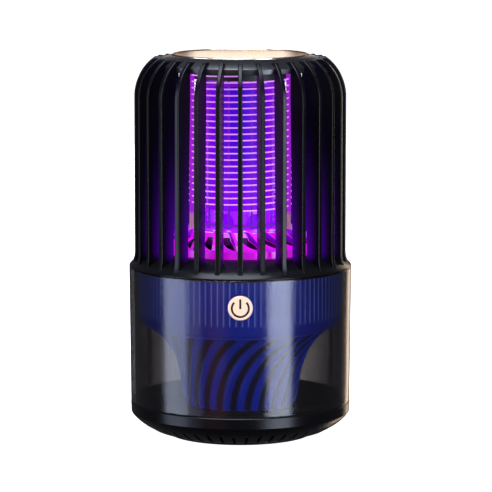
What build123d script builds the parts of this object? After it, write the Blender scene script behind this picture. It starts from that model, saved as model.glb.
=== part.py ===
"""Cordless electric insect killer: a finned cage over a violet lamp and a live wire grid,
a suction fan, a blue funnel in a smoked tank, and a catch tray that comes off.

Millimetres, +Z up, origin at the centre of the foot, front towards -Y.
"""
import math
import os

from build123d import *

os.makedirs("parts", exist_ok=True)

# ---------------------------------------------------------------- driving sizes
BODY_R = 60.0          # collar radius, the widest part
HEIGHT = 206.0         # foot to the rim of the top dish
TANK_TOP_Z = 91.2      # top edge of the smoked tank
TANK_BOTTOM_Z = 18.4   # bottom edge of the smoked tank
COIL_R = 27.3          # centreline radius of the live wire
FAN_R = 29.0           # tip radius of the fan blades
FIN_COUNT = 30         # fins round the cage
FIN_T = 2.6            # thickness of a fin half way up
WALL = 1.8             # moulded wall
GAP = 0.3              # gap between pieces that part or move
SLIP = 0.05            # radial running clearance of the shaft

# cage
CAGE_Z = TANK_TOP_Z + GAP
FIN_R = BODY_R - 3.0
FIN_IN_TOP = FIN_R - 11.0
FIN_IN_BOTTOM = FIN_R - 8.6
CREST_R = BODY_R - 14.0
CREST_Z = CAGE_Z + 8.9
SHOULDER_R = 25.0
SHOULDER_C = (FIN_R - SHOULDER_R, HEIGHT - 22.5)
CAP_ARC_R = 22.5
DISH_R = 36.6
DISH_Z = HEIGHT - 4.1
LIP_Z = HEIGHT - 8.0
FIN_TOP_Z = HEIGHT - 1.8
FIN_END_R = DISH_R + 4.4

# swirl inlet
INLET_R = BODY_R - 16.8
INLET_BAND_Z = CAGE_Z + 12.5
HUB_Z = CAGE_Z + 20.5
HUB_R = COIL_R + 1.3
VANE_COUNT = 20

# grid and lamp
COIL_WIRE_R = 0.38
COIL_PITCH = 3.415
COIL_TURNS = 21
COIL_Z = HUB_Z + 12.1
POST_COUNT = 5
POST_W = 2.2
POST_IN = COIL_R - 1.2
POST_OUT = COIL_R + 1.0
CAP_R = POST_IN - 0.1
ROD_RING_R = 23.5
ROD_R = 0.6
ROD_COUNT = 12
TUBE_R = 18.5
TUBE_WALL = 2.5
TUBE_TOP_Z = HEIGHT - 14.5

# deck, fan and funnel
DECK_T = 4.0
DECK_Z = TANK_TOP_Z - DECK_T
TANK_WALL = 2.5
TANK_TAPER = 0.7
SKIRT_R = BODY_R - 5.0
SKIRT_WALL = 1.1
SKIRT_TOP_Z = TANK_TOP_Z - 1.3
SKIRT_FLUTES = 105
FLOOR_Z = 62.5
DUCT_R = FAN_R + 0.5
DUCT_WALL = 1.5
TRUMPET_LOBES = 24
TRUMPET_TWIST = 32.0
TRUMPET_WAVE = 1.8
TRUMPET_BOTTOM_Z = 16.6
TRUMPET_TOP_Z = 57.3
TRUMPET_TOP_R = 46.9
SHAFT_R = 1.5
BOSS_ANGLES = (60, 120, 240, 300)
BOSS_RING_R = 46.0

# button and charging inlet
BUTTON_Z = 77.0
BUTTON_R = 6.5
BUTTON_TRAVEL = 1.0
STEM_R = 2.4
PORT_Z = 77.0

# tray
TRAY_TOP_Z = TANK_BOTTOM_Z - 0.4
BAND_BOTTOM_Z = 12.0
FOOT_R = 39.8
SLOT_COUNT = 48


# ---------------------------------------------------------------- helpers
def turned(points):
    """Solid of revolution of a closed outline of (radius, height) points."""
    outline = Polyline(*points, close=True)
    return revolve(Plane.XZ * make_face(outline), axis=Axis.Z)


def ring(inner_r, outer_r, low_z, high_z):
    """Plain ring, or a disc where the inner radius is 0."""
    return turned([(inner_r, low_z), (outer_r, low_z), (outer_r, high_z), (inner_r, high_z)])


def block(low, high):
    """Box between two corners."""
    size = [high[i] - low[i] for i in range(3)]
    centre = [(high[i] + low[i]) / 2 for i in range(3)]
    return Pos(*centre) * Box(*size)


def spun(shape, count, start=0.0):
    """Copies of a shape, evenly turned about the centre line."""
    return [shape.rotate(Axis.Z, start + 360.0 * k / count) for k in range(count)]


def at_angle(radius, degrees):
    """Plan position on a circle, counted from +X."""
    return (radius * math.cos(math.radians(degrees)), radius * math.sin(math.radians(degrees)))


def arc_z(radius, centre, arc_r):
    """Height of an arc about a (radius, height) centre at a given radius."""
    return centre[1] + math.sqrt(arc_r ** 2 - (radius - centre[0]) ** 2)


def save(shape, name):
    """Write one piece of the assembly to its own file."""
    shape.label = name
    export_step(shape, f"parts/{name}.step")


# ---------------------------------------------------------------- cage
def collar():
    """Sloped ring at the cage's foot, hollow beneath."""
    outer = [
        (BODY_R, CAGE_Z),
        (BODY_R, CAGE_Z + 0.6),
        (BODY_R - 1.3, CAGE_Z + 2.1),
        (BODY_R - 4.2, CAGE_Z + 4.3),
        (BODY_R - 7.6, CAGE_Z + 6.2),
        (BODY_R - 11.0, CAGE_Z + 7.8),
        (CREST_R, CREST_Z - 0.2),
        (INLET_R + GAP + 0.6, CREST_Z),
        (INLET_R + GAP, CREST_Z - 0.5),
    ]
    inner = [
        (INLET_R + GAP, CAGE_Z),
        (INLET_R + GAP + WALL, CAGE_Z),
        (INLET_R + GAP + WALL, CREST_Z - 2.3),
        (BODY_R - 11.2, CAGE_Z + 5.7),
        (BODY_R - 7.9, CAGE_Z + 4.1),
        (BODY_R - 4.6, CAGE_Z + 2.2),
        (BODY_R - 2.1, CAGE_Z),
    ]
    return turned(outer + inner)


def shoulder():
    """Domed ring and plate that close the top of the cage."""
    lip_r = CREST_R + 0.4
    steps = [DISH_R + GAP + (lip_r - DISH_R - GAP) * k / 6 for k in range(7)]
    dome = [(r, arc_z(r, SHOULDER_C, CAP_ARC_R)) for r in reversed(steps)]
    under = [
        (0, DISH_Z - 2.1),
        (lip_r - 2.9, DISH_Z - 2.1),
        (lip_r - WALL, LIP_Z),
        (lip_r, LIP_Z),
    ]
    seat = [(DISH_R + GAP, DISH_Z), (0, DISH_Z)]
    return turned(under + dome + seat)


def fin_blade():
    """One upright fin at the front, thinner at its top than at its foot."""
    top_r = SHOULDER_C[0] + math.sqrt(SHOULDER_R ** 2 - (FIN_TOP_Z - SHOULDER_C[1]) ** 2)
    with BuildSketch(Plane.XZ) as outline:
        with BuildLine():
            side = Line((FIN_R, CAGE_Z + 8.1), (FIN_R, SHOULDER_C[1]))
            mid_a = math.radians(32)
            mid = (SHOULDER_C[0] + SHOULDER_R * math.cos(mid_a),
                   SHOULDER_C[1] + SHOULDER_R * math.sin(mid_a))
            ThreePointArc(side @ 1, mid, (top_r, FIN_TOP_Z))
            Polyline(
                (top_r, FIN_TOP_Z),
                (FIN_END_R, FIN_TOP_Z - 0.3),
                (CREST_R - 1.4, LIP_Z + 1.2),
                (FIN_IN_TOP, LIP_Z + 1.0),
                (FIN_IN_TOP, HEIGHT - 20.0),
                (FIN_IN_BOTTOM, CAGE_Z + 16.0),
                (FIN_IN_BOTTOM, CREST_Z - 2.0),
                (BODY_R - 3.4, CAGE_Z + 2.6),
                (BODY_R - 1.6, CAGE_Z + 2.2),
            )
            Spline((BODY_R - 1.6, CAGE_Z + 2.2), (BODY_R - 2.5, CAGE_Z + 4.6), (FIN_R, CAGE_Z + 8.1),
                   tangents=((-0.25, 1), (0, 1)))
        make_face()
    plate = extrude(outline.sketch, amount=FIN_T, both=True)
    slim = FIN_T / 2 - 0.15
    stout = FIN_T / 2 + 0.15
    taper = Plane.YZ * make_face(Polyline(
        (-stout, CAGE_Z), (stout, CAGE_Z), (slim, HEIGHT + 1), (-slim, HEIGHT + 1), close=True))
    wedge = extrude(taper, amount=BODY_R + 5)
    return (plate & wedge).rotate(Axis.Z, -90)


def fins():
    """All the fins, each its own solid, ending on the collar and on the shoulder."""
    blade = (fin_blade() - collar() - shoulder()).solids().sort_by(SortBy.VOLUME)[-1]
    return Compound([blade.rotate(Axis.Z, k * 360.0 / FIN_COUNT) for k in range(FIN_COUNT)])


def top_dish():
    """Shallow metallised dish let into the shoulder."""
    rim = 1.2
    steps = 10
    bowl = []
    for k in range(steps + 1):
        r = (DISH_R - rim) * (1 - k / steps)
        bowl.append((r, HEIGHT - 0.35 - 2.0 * (1 - (r / (DISH_R - rim)) ** 2)))
    outline = [(0, DISH_Z), (DISH_R, DISH_Z), (DISH_R, HEIGHT - 0.3), (DISH_R - 0.4, HEIGHT), (DISH_R - rim, HEIGHT)]
    return turned(outline + bowl)


# ---------------------------------------------------------------- swirl inlet
def plan_strip(stations):
    """Face between two edges given as (radius, low angle, high angle) stations."""
    low_side = [at_angle(r, a) for r, a, _ in stations]
    high_side = [at_angle(r, b) for r, _, b in reversed(stations)]
    return make_face(Polyline(*low_side, *high_side, close=True))


def widened(stations, half_widths):
    """Strip stations (radius, low, high) from (radius, middle) and a half width at each."""
    strip = []
    for (r, middle), half in zip(stations, half_widths):
        spread = math.degrees(half / r)
        strip.append((r, middle - spread, middle + spread))
    return strip


# Sweep of one slot and of the vane beside it: radius, then angles from the front.
SLOT = [(HUB_R + 1.4, -17.4, -10.7), (33.0, -15.8, -8.3), (36.0, -13.8, -6.3), (38.5, -10.6, -5.0),
        (40.1, -7.2, -4.2), (INLET_R - WALL - 0.4, -4.8, -3.9)]
VANE = [(25.6, -14.8), (28.0, -11.2), (31.0, -7.6), (34.0, -5.6), (37.0, -3.9), (40.0, -2.4), (INLET_R - 0.7, -1.4)]
VANE_HALF = [0.85, 0.8, 0.8, 0.8, 0.8, 0.85, 0.9]


def swirl_inlet():
    """Domed inlet with swept slots, and a raised vane beside each slot."""
    dome = [(0, HUB_Z), (HUB_R, HUB_Z), (HUB_R + 2.4, HUB_Z - 3.4), (36, HUB_Z - 4.9), (41, HUB_Z - 7.3),
            (INLET_R, INLET_BAND_Z)]
    below = [(INLET_R, TANK_TOP_Z), (INLET_R - WALL, TANK_TOP_Z), (INLET_R - WALL, INLET_BAND_Z - 1.6),
             (36, HUB_Z - 7.7), (HUB_R + 1.2, HUB_Z - 6.0), (HUB_R - 1.6, HUB_Z - 2.2), (0, HUB_Z - 2.2)]
    shell = turned(dome + below)
    slot_cut = extrude(Plane.XY.offset(TANK_TOP_Z) * plan_strip(SLOT), amount=30)
    vane_bar = extrude(Plane.XY.offset(TANK_TOP_Z) * plan_strip(widened(VANE, VANE_HALF)), amount=30)
    envelope = turned([
        (25.6, HUB_Z - 0.4), (HUB_R, HUB_Z - 0.4), (HUB_R + 2.0, HUB_Z - 5.6), (36, HUB_Z - 7.0),
        (INLET_R - 0.7, INLET_BAND_Z - 1.2), (INLET_R - 0.7, INLET_BAND_Z + 0.6), (40, HUB_Z - 4.8),
        (35, HUB_Z - 1.7), (30.5, HUB_Z + 0.7), (25.6, HUB_Z + 1.4)])
    rib = vane_bar & envelope
    front = -90.0
    return shell - spun(slot_cut, VANE_COUNT, front) + spun(rib, VANE_COUNT, front)


# ---------------------------------------------------------------- grid and lamp
def zapper_coil():
    """Single live wire wound as an upright right-hand helix."""
    path = Helix(pitch=COIL_PITCH, height=COIL_PITCH * COIL_TURNS, radius=COIL_R)
    section = Plane(origin=path @ 0, z_dir=path % 0) * Circle(COIL_WIRE_R)
    wire = sweep(section, path=path, is_frenet=True)
    return Pos(0, 0, COIL_Z) * wire.rotate(Axis.Z, -90)


def grid_posts(coil):
    """Upright metal posts, notched where the wire crosses them."""
    post = block((POST_IN, -POST_W / 2, HUB_Z), (POST_OUT, POST_W / 2, LIP_Z - 1.4))
    posts = Part() + spun(post, POST_COUNT, -90)
    return posts - coil


def inner_electrode():
    """Ring of upright rods inside the wire, joined by a hoop at each end."""
    rod = Pos(ROD_RING_R, 0, HUB_Z + WALL) * Cylinder(
        ROD_R, TUBE_TOP_Z + 1.3 - HUB_Z - WALL, align=(Align.CENTER, Align.CENTER, Align.MIN))
    low = ring(ROD_RING_R - 0.5, ROD_RING_R + 0.5, HUB_Z + 3.0, HUB_Z + 4.2)
    high = ring(ROD_RING_R - 0.5, ROD_RING_R + 0.5, TUBE_TOP_Z - 1.6, TUBE_TOP_Z - 0.4)
    return low + high + spun(rod, ROD_COUNT, -75)


def grid_base():
    """Insulating ring that carries the rods."""
    return ring(TUBE_R + 2.2, 25.2, HUB_Z, HUB_Z + WALL)


def grid_top_cap():
    """Insulating cap over the lamp and grid, with a rim over the posts."""
    low = TUBE_TOP_Z + 1.5
    body = turned([
        (0, low + WALL), (TUBE_R - 1.0, low + WALL), (TUBE_R - 1.0, low), (CAP_R, low), (CAP_R, LIP_Z - 1.4),
        (POST_OUT + 0.4, LIP_Z - 1.4), (POST_OUT + 0.4, LIP_Z - 0.6), (0, LIP_Z - 0.6)])
    return body


def lamp_base():
    """Socket ring round the foot of the tube, with rounded windows."""
    inner_r = TUBE_R + 0.2
    wall = ring(inner_r, inner_r + 1.5, HUB_Z, HUB_Z + 11.0)
    sill = HUB_Z + 3.0
    window = Plane.YZ * make_face(Polyline((-4.4, sill), (4.4, sill), (4.4, sill + 2.2), (-4.4, sill + 2.2), close=True))
    arch = Plane.YZ * (Pos(0, sill + 2.2) * Circle(4.4))
    cut = extrude(window + arch, amount=TUBE_R + 6)
    return wall - spun(cut, 8, 22.5)


def light_tube():
    """Clear tube round the lamp, closed at its top."""
    return turned([
        (TUBE_R - TUBE_WALL, HUB_Z), (TUBE_R, HUB_Z), (TUBE_R, TUBE_TOP_Z - 2), (TUBE_R - 2, TUBE_TOP_Z),
        (0, TUBE_TOP_Z), (0, TUBE_TOP_Z - TUBE_WALL), (TUBE_R - TUBE_WALL, TUBE_TOP_Z - TUBE_WALL)])


def led_board():
    """Three-sided column that the violet lamps are soldered to."""
    with BuildSketch(Plane.XY.offset(HUB_Z)) as section:
        RegularPolygon(radius=8.0, side_count=3, rotation=-90)
    return extrude(section.sketch, amount=TUBE_TOP_Z - HUB_Z - 8.0)


def uv_leds():
    """Surface-mount violet lamps up each face of the column."""
    face_r = 4.0
    lamps = []
    for row in range(7):
        z = HUB_Z + 8.0 + 9.0 * row
        chip = block((face_r, -1.75, z), (face_r + 1.8, 1.75, z + 3.5))
        lamps += spun(chip, 3, 90)
    return Compound(children=lamps)


# ---------------------------------------------------------------- deck and fan
def boss_plan():
    return [at_angle(BOSS_RING_R, a) for a in BOSS_ANGLES]


def deck():
    """Lid of the works, with a bell mouth that leads air down to the fan."""
    upstand = INLET_R - WALL - 0.2
    shell = turned([
        (DUCT_R + 0.3, DECK_Z), (SKIRT_R - SKIRT_WALL - GAP, DECK_Z), (SKIRT_R - SKIRT_WALL - GAP, SKIRT_TOP_Z + 0.1),
        (BODY_R - TANK_WALL - 0.2, SKIRT_TOP_Z + 0.1), (BODY_R - TANK_WALL - 0.2, TANK_TOP_Z), (upstand, TANK_TOP_Z),
        (upstand, TANK_TOP_Z + 8.6), (upstand - 1.2, TANK_TOP_Z + 8.6), (upstand - 2.2, TANK_TOP_Z + 4.0),
        (upstand - 4.6, TANK_TOP_Z + 0.4), (upstand - 8.2, TANK_TOP_Z - 2.2)])
    for x, y in boss_plan():
        shell -= Pos(x, y, DECK_Z) * Cylinder(1.35, 3 * DECK_T)
        shell -= Pos(x, y, TANK_TOP_Z) * Cylinder(2.8, 4.0)
    return shell


def deck_screws():
    """Four screws through the deck into the fan frame's bosses."""
    screws = []
    for x, y in boss_plan():
        head = Pos(x, y, TANK_TOP_Z - 2.0) * Cylinder(2.5, 1.7, align=(Align.CENTER, Align.CENTER, Align.MIN))
        head -= Pos(x, y, TANK_TOP_Z) * Box(3.4, 0.8, 1.8)
        head -= Pos(x, y, TANK_TOP_Z) * Box(0.8, 3.4, 1.8)
        shank = Pos(x, y, TANK_TOP_Z - 14.0) * Cylinder(1.2, 12.0, align=(Align.CENTER, Align.CENTER, Align.MIN))
        screws.append(head + shank)
    return Compound(children=screws)


def fan_frame():
    """Fan duct with a floor that closes off the electronics, and a motor spider."""
    top = DECK_Z - 0.1
    frame = ring(DUCT_R, DUCT_R + DUCT_WALL, FLOOR_Z, top)
    frame += ring(DUCT_R + DUCT_WALL - 0.1, SKIRT_R - SKIRT_WALL - GAP, FLOOR_Z, FLOOR_Z + 1.6)
    frame += ring(0, 10.5, FLOOR_Z, FLOOR_Z + WALL)
    strut = block((10.0, -1.2, FLOOR_Z), (DUCT_R + 0.5, 1.2, FLOOR_Z + 2.4))
    frame += spun(strut, 4, 45)
    for x, y in boss_plan():
        boss = Pos(x, y, FLOOR_Z + 1.0) * Cylinder(3.0, top - FLOOR_Z - 1.0, align=(Align.CENTER, Align.CENTER, Align.MIN))
        frame += boss
        frame -= Pos(x, y, TANK_TOP_Z - 14.0) * Cylinder(1.2, 20.0, align=(Align.CENTER, Align.CENTER, Align.MIN))
    return frame


MOTOR_Z = FLOOR_Z + WALL


def fan_motor():
    """Fixed windings of the fan motor."""
    return ring(3.0, 7.2, MOTOR_Z, MOTOR_Z + 8.0)


def motor_bearings():
    """Two plain bearings pressed into the windings' bore."""
    low = ring(SHAFT_R + SLIP, 3.0, MOTOR_Z + 0.6, MOTOR_Z + 3.0)
    high = ring(SHAFT_R + SLIP, 3.0, MOTOR_Z + 5.4, MOTOR_Z + 7.8)
    return Compound(children=[low, high])


def fan_shaft():
    return ring(0, SHAFT_R, MOTOR_Z + 0.4, MOTOR_Z + 12.0)


def rotor_magnet():
    return ring(7.8, 8.5, MOTOR_Z + 1.0, MOTOR_Z + 8.0)


def fan_impeller():
    """Axial impeller: a cup over the motor with seven pitched blades."""
    low = MOTOR_Z + 1.0
    high = MOTOR_Z + 13.5
    cup = turned([
        (8.5, low), (10.2, low), (10.2, high - 1.5), (8.7, high), (0, high), (0, MOTOR_Z + 12.0),
        (SHAFT_R, MOTOR_Z + 12.0), (SHAFT_R, MOTOR_Z + 8.6), (3.2, MOTOR_Z + 8.6), (3.2, high - 2.0), (8.5, high - 2.0)])
    plate = Box(FAN_R, 13.5, 1.3, align=(Align.MIN, Align.CENTER, Align.CENTER)).rotate(Axis.X, 38)
    blade = (Pos(0, 0, MOTOR_Z + 7.2) * plate) & ring(10.0, FAN_R, low + 0.2, high)
    return cup + spun(blade, 7)


# ---------------------------------------------------------------- electronics
def battery_cells():
    """Two rechargeable cells lying either side of the fan duct."""
    cells = []
    for side in (-1, 1):
        cell = Cylinder(6.9, 48.5, rotation=(90, 0, 0))
        nub = Pos(0, -24.75, 0) * Cylinder(2.6, 1.2, rotation=(90, 0, 0))
        cells.append(Pos(side * 38.6, 0, 72.5) * (cell + nub))
    return Compound(children=cells)


def cell_holder():
    """Pair of cradles under the cells."""
    cradles = []
    for side in (-1, 1):
        for y in (-16.0, 16.0):
            base = block((side * 38.6 - 6.0, y - 2.0, FLOOR_Z + 1.6), (side * 38.6 + 6.0, y + 2.0, 69.5))
            cradles.append(base - Pos(side * 38.6, 0, 72.5) * Cylinder(6.9, 60, rotation=(90, 0, 0)))
    return Compound(children=cradles)


def control_board():
    """Upright circuit board behind the power button."""
    return block((-16, -45.4, FLOOR_Z + 2.0), (16, -43.8, DECK_Z - 0.6))


def board_parts():
    """Packages on the back of the control board."""
    parts = [
        block((-14, -43.8, 67.0), (-8, -42.0, 73.0)),
        block((-4, -43.8, 66.0), (3, -42.2, 71.0)),
        Pos(10.0, -41.3, 70.0) * Cylinder(2.5, 5.0, rotation=(90, 0, 0)),
        block((5, -43.8, 79.0), (13, -42.6, 83.0)),
    ]
    return Compound(children=parts)


def tact_switch():
    """Switch that the button's stem presses."""
    body = block((-3, -48.2, BUTTON_Z - 3), (3, -45.4, BUTTON_Z + 3))
    plunger = Pos(0, -48.6, BUTTON_Z) * Cylinder(1.6, 1.2, rotation=(90, 0, 0))
    return body + plunger


def hv_module():
    """Potted high-voltage converter."""
    case = block((-14, 33.2, FLOOR_Z + 1.6), (14, 44.2, 79.0))
    return case


def charge_board():
    return block((-8, 45.0, PORT_Z - 3.0), (8, 52.4, PORT_Z - 1.8))


def usb_inlet():
    """Open metal shell of the charging inlet with its contact tongue."""
    shell = block((-4.5, 48.0, PORT_Z - 1.8), (4.5, BODY_R - 2.6, PORT_Z + 1.4))
    shell -= block((-4.1, 48.8, PORT_Z - 1.4), (4.1, BODY_R, PORT_Z + 1.0))
    tongue = block((-3.3, 48.4, PORT_Z - 0.55), (3.3, BODY_R - 3.6, PORT_Z + 0.15))
    return shell + tongue


def usb_bezel():
    """Surround of the charging inlet, let into the tank wall."""
    with BuildSketch(Plane.XZ.offset(-(BODY_R - 3.6))) as outline:
        with Locations((0, PORT_Z - 0.2)):
            RectangleRounded(14.0, 8.0, 3.9)
            RectangleRounded(9.4, 3.6, 0.4, mode=Mode.SUBTRACT)
    solid = extrude(outline.sketch, amount=-6)
    return solid & ring(0, BODY_R - 0.1, PORT_Z - 8, PORT_Z + 8)


def interlock_switch():
    """Safety switch under the collar that cuts the grid when the cage is off."""
    return (block((46.2, -4.0, TANK_TOP_Z), (50.8, 4.0, TANK_TOP_Z + 3.2))
            + block((47.9, -1.0, TANK_TOP_Z + 3.0), (48.9, 1.0, TANK_TOP_Z + 4.3))).rotate(Axis.Z, 20)


# ---------------------------------------------------------------- button
def power_symbol_shape(depth):
    """Power sign: an open ring and an upright bar, from the button's face inwards."""
    with BuildSketch(Plane.XZ.offset(BODY_R)) as sign:
        with Locations((0, BUTTON_Z - 0.1)):
            Circle(5.0)
            Circle(3.9, mode=Mode.SUBTRACT)
            with BuildLine():
                Polyline((0, BUTTON_Z - 0.1), (-7, BUTTON_Z + 6.9), (7, BUTTON_Z + 6.9), close=True)
            make_face(mode=Mode.SUBTRACT)
        with Locations((0, BUTTON_Z + 2.2)):
            Rectangle(1.1, 5.2)
    return extrude(sign.sketch, amount=-depth)


def power_button(sign):
    """Round push button with a stem through the funnel's skirt."""
    face_y = -BODY_R
    disc = Pos(0, face_y + 1.2, BUTTON_Z) * Cylinder(BUTTON_R, 2.4, rotation=(90, 0, 0))
    disc = chamfer(disc.faces().sort_by(Axis.Y)[0].edges(), 0.35)
    stem_back = -48.2 - 1.0 - BUTTON_TRAVEL - GAP
    stem_length = stem_back - (face_y + 2.0)
    stem = Pos(0, face_y + 2.0 + stem_length / 2, BUTTON_Z) * Cylinder(STEM_R, stem_length, rotation=(90, 0, 0))
    snap_y = -(SKIRT_R - SKIRT_WALL) + GAP
    snap = Pos(0, snap_y + 0.5, BUTTON_Z) * Cylinder(STEM_R + 0.9, 1.0, rotation=(90, 0, 0))
    return disc + stem + snap - sign


# ---------------------------------------------------------------- funnel and tank
def fluted_skirt():
    """Fluted outer wall of the funnel, on a rounded ring, with holes for the button and the inlet."""
    low = FLOOR_Z + 3.5
    points = []
    for k in range(SKIRT_FLUTES):
        step = 360.0 / SKIRT_FLUTES
        for offset, radius in ((0.12, SKIRT_R), (0.38, SKIRT_R), (0.62, SKIRT_R - 0.4), (0.88, SKIRT_R - 0.4)):
            points.append(at_angle(radius, (k + offset) * step))
    wall = extrude(Plane.XY.offset(low) * make_face(Polyline(*points, close=True)), amount=SKIRT_TOP_Z - low)
    wall -= ring(0, SKIRT_R - SKIRT_WALL, low - 1, SKIRT_TOP_Z + 1)
    rounded_ring = turned([
        (TRUMPET_TOP_R - 3.3, TRUMPET_TOP_Z), (TRUMPET_TOP_R - 0.7, TRUMPET_TOP_Z), (48.6, 58.4), (52.0, 59.6),
        (54.2, 61.6), (SKIRT_R - 0.2, low + 0.01), (SKIRT_R - SKIRT_WALL, low + 0.01),
        (SKIRT_R - SKIRT_WALL, FLOOR_Z - 0.1), (47.6, FLOOR_Z - 0.1)])
    button_hole = Pos(0, -SKIRT_R, BUTTON_Z) * Cylinder(STEM_R + GAP, 8, rotation=(90, 0, 0))
    port_hole = block((-4.8, SKIRT_R - 6, PORT_Z - 2.1), (4.8, SKIRT_R + 2, PORT_Z + 1.7))
    return rounded_ring + (wall - button_hole - port_hole)


def trumpet_r(z):
    """Outer radius of the trumpet at a height."""
    table = [(16.0, 29.6), (21.4, 31.1), (29.3, 32.3), (38.2, 34.3), (46.2, 37.5), (51.7, 41.4), (TRUMPET_TOP_Z, TRUMPET_TOP_R)]
    for (z0, r0), (z1, r1) in zip(table, table[1:]):
        if z <= z1:
            return r0 + (r1 - r0) * (z - z0) / (z1 - z0)
    return table[-1][1]


def trumpet_section(z, depth):
    """Lobed closed outline of the trumpet, turned by its twist at that height."""
    t = (z - TRUMPET_BOTTOM_Z) / (TRUMPET_TOP_Z - TRUMPET_BOTTOM_Z)
    turn = math.radians(TRUMPET_TWIST * t ** 1.8)
    points = []
    for k in range(TRUMPET_LOBES * 4):
        phi = 2 * math.pi * k / (TRUMPET_LOBES * 4)
        r = trumpet_r(z) - depth * (0.5 - 0.5 * math.cos(TRUMPET_LOBES * phi))
        points.append((r * math.cos(phi + turn), r * math.sin(phi + turn), z))
    return Face(Wire([Edge.make_spline([Vector(*p) for p in points], periodic=True)]))


def funnel():
    """Blue funnel: a trumpet with twisted ridges outside and a smooth bore."""
    heights = [TRUMPET_BOTTOM_Z, 21.4, 25.4, 29.3, 33.8, 38.2, 42.2, 46.2, 49.0, 51.7, 54.5, TRUMPET_TOP_Z]
    body = loft([trumpet_section(z, TRUMPET_WAVE) for z in heights])
    return body - turned([
        (0, 10), (26.6, 10), (26.6, 17), (28.2, 24), (29.6, 32), (31.8, 40), (34.8, 47.5), (39.0, 53.0),
        (TRUMPET_TOP_R - 3.3, TRUMPET_TOP_Z + 0.1), (0, TRUMPET_TOP_Z + 0.1)])


def tank_shell():
    """Clear smoked tank with two upright guide ribs inside."""
    bottom_r = BODY_R - TANK_TAPER
    wall = turned([
        (bottom_r, TANK_BOTTOM_Z), (BODY_R, TANK_TOP_Z), (BODY_R - TANK_WALL, TANK_TOP_Z),
        (bottom_r - TANK_WALL, TANK_BOTTOM_Z)])
    rib = block((SKIRT_R + 0.4, -0.6, TANK_BOTTOM_Z + 3.0), (BODY_R - TANK_WALL + 0.6, 0.6, SKIRT_TOP_Z - 0.5))
    rib &= ring(0, bottom_r - 1.5, 0, HEIGHT)
    for degrees in (27, 153):
        wall += rib.rotate(Axis.Z, degrees)
    button_hole = Pos(0, -BODY_R, BUTTON_Z) * Cylinder(BUTTON_R + GAP, 9, rotation=(90, 0, 0))
    with BuildSketch(Plane.XZ.offset(-(BODY_R - 4))) as port:
        with Locations((0, PORT_Z - 0.2)):
            RectangleRounded(14.2, 8.2, 4.0)
    return wall - button_hole - extrude(port.sketch, amount=-8)


# ---------------------------------------------------------------- tray
def base_tray():
    """Catch tray: a bowl with radial air slots, a band and a locating lip."""
    band_r = BODY_R - TANK_TAPER + 0.1
    lip_r = BODY_R - TANK_TAPER - TANK_WALL - 0.4
    outer = [
        (0, 3.0), (FOOT_R - 6.0, 3.0), (FOOT_R - 6.0, 0.8), (FOOT_R - 5.0, 0.8), (FOOT_R - 5.0, 2.2),
        (FOOT_R - 1.0, 2.2), (FOOT_R - 1.0, 0.8), (FOOT_R, 0.8), (FOOT_R + 0.4, 1.3), (43.4, 1.9), (47.3, 3.2),
        (50.0, 4.7), (53.0, 6.5), (55.5, 8.3), (57.6, 10.3), (band_r - 0.6, BAND_BOTTOM_Z - 0.3),
        (band_r - 0.2, BAND_BOTTOM_Z + 0.4), (band_r, TRAY_TOP_Z - 0.3), (band_r - 0.3, TRAY_TOP_Z)]
    gasket = [(58.4, TRAY_TOP_Z), (58.4, TRAY_TOP_Z - 0.8), (57.4, TRAY_TOP_Z - 0.8), (57.4, TRAY_TOP_Z)]
    lip = [(lip_r, TRAY_TOP_Z), (lip_r, TRAY_TOP_Z + 2.5), (lip_r - 1.4, TRAY_TOP_Z + 2.5), (lip_r - 1.4, 12.6)]
    inner = [(53.2, 9.7), (50.9, 7.7), (48.2, 6.2), (45.4, 5.1), (42.0, 4.7), (29.0, 4.7), (28.0, 5.6), (0, 5.6)]
    bowl = turned(outer + gasket + lip + inner)
    slot = block((43.2, -0.8, 0), (54.6, 0.8, 11.2))
    return bowl - spun(slot, SLOT_COUNT, 360.0 / SLOT_COUNT / 2)


def foot_ring():
    """Rubber ring that the whole appliance stands on."""
    return ring(FOOT_R - 5.0, FOOT_R - 1.0, 0, 2.2)


def tray_gasket():
    return ring(57.4, 58.4, TRAY_TOP_Z - 0.8, TRAY_TOP_Z + 0.1)


# ---------------------------------------------------------------- assembly
def main():
    coil = zapper_coil()
    sign = power_symbol_shape(0.3)
    pieces = {
        "collar": collar(),
        "fins": fins(),
        "shoulder": shoulder(),
        "top_dish": top_dish(),
        "swirl_inlet": swirl_inlet(),
        "zapper_coil": coil,
        "grid_posts": grid_posts(coil),
        "inner_electrode": inner_electrode(),
        "grid_base": grid_base(),
        "grid_top_cap": grid_top_cap(),
        "lamp_base": lamp_base(),
        "light_tube": light_tube(),
        "led_board": led_board(),
        "uv_leds": uv_leds(),
        "deck": deck(),
        "deck_screws": deck_screws(),
        "fan_frame": fan_frame(),
        "fan_motor": fan_motor(),
        "motor_bearings": motor_bearings(),
        "fan_shaft": fan_shaft(),
        "rotor_magnet": rotor_magnet(),
        "fan_impeller": fan_impeller(),
        "battery_cells": battery_cells(),
        "cell_holder": cell_holder(),
        "control_board": control_board(),
        "board_parts": board_parts(),
        "tact_switch": tact_switch(),
        "hv_module": hv_module(),
        "charge_board": charge_board(),
        "usb_inlet": usb_inlet(),
        "usb_bezel": usb_bezel(),
        "interlock_switch": interlock_switch(),
        "power_symbol": sign,
        "power_button": power_button(sign),
        "fluted_skirt": fluted_skirt(),
        "funnel": funnel(),
        "tank_shell": tank_shell(),
        "base_tray": base_tray(),
        "foot_ring": foot_ring(),
        "tray_gasket": tray_gasket(),
    }
    for name, shape in pieces.items():
        save(shape, name)
        print(name, len(shape.solids()), round(shape.volume, 1))


main()
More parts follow.
